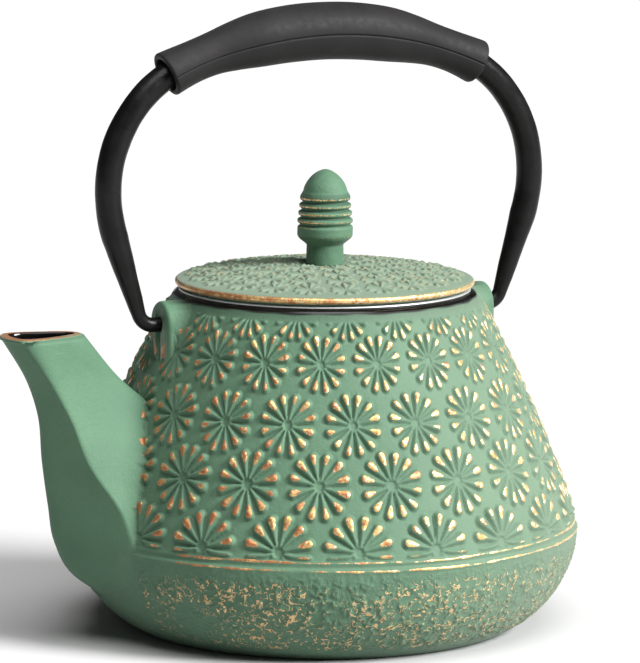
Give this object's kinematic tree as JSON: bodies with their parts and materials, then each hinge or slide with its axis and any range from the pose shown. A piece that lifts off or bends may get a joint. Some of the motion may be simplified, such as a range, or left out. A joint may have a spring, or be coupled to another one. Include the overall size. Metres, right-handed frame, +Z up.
{
  "type": "cast iron teapot",
  "caption": "Squat cast iron teapot with a faceted spout, star-relief body, lift-off lid and ribbed knob, hanging infuser basket and a folding arched bail with a soft grip",
  "frame": {"origin": "centre of the flat foot that the pot stands on, on the body's axis", "axes": "+Z up, -X toward the spout, so X runs along the line of both lugs and is the bail's hinge line; +Y completes the right-handed set"},
  "size_m": [0.1829, 0.155, 0.1897],
  "materials": {
    "patinated_iron": "matte green patina with gold rubbed onto the high points, gloss black enamel inside",
    "lid_iron": "matte green patina with gold rubbed onto the high points",
    "black_tube": "satin black, slightly rough",
    "soft_grip": "matte charcoal",
    "basket_steel": "brushed",
    "basket_mesh": "fine mesh",
    "fastener_steel": "bright zinc"
  },
  "bodies": {
    "pot": {"pot_casting": "patinated_iron"},
    "basket": {"infuser_rim": "basket_steel", "infuser_mesh_wall": "basket_mesh", "infuser_mesh_floor": "basket_mesh", "infuser_foot_ring": "basket_steel"},
    "lid": {"lid_casting": "lid_iron", "lid_knob": "lid_iron", "knob_washer": "fastener_steel", "knob_screw": "fastener_steel"},
    "bail": {"bail_handle": "black_tube", "handle_grip": "soft_grip"}
  },
  "joints": [
    {"name": "bail_hinge", "type": "hinge", "parent": "pot", "child": "bail", "pos_m": [0, 0, 0.0948], "axis": [1, 0, 0], "range_deg": [-110, 110]},
    {"name": "basket_lift", "type": "slide", "parent": "pot", "child": "basket", "axis": [0, 0, 1], "range_m": [0, 0.03]},
    {"name": "lid_lift", "type": "slide", "parent": "basket", "child": "lid", "axis": [0, 0, 1], "range_m": [0, 0.03]}
  ]
}
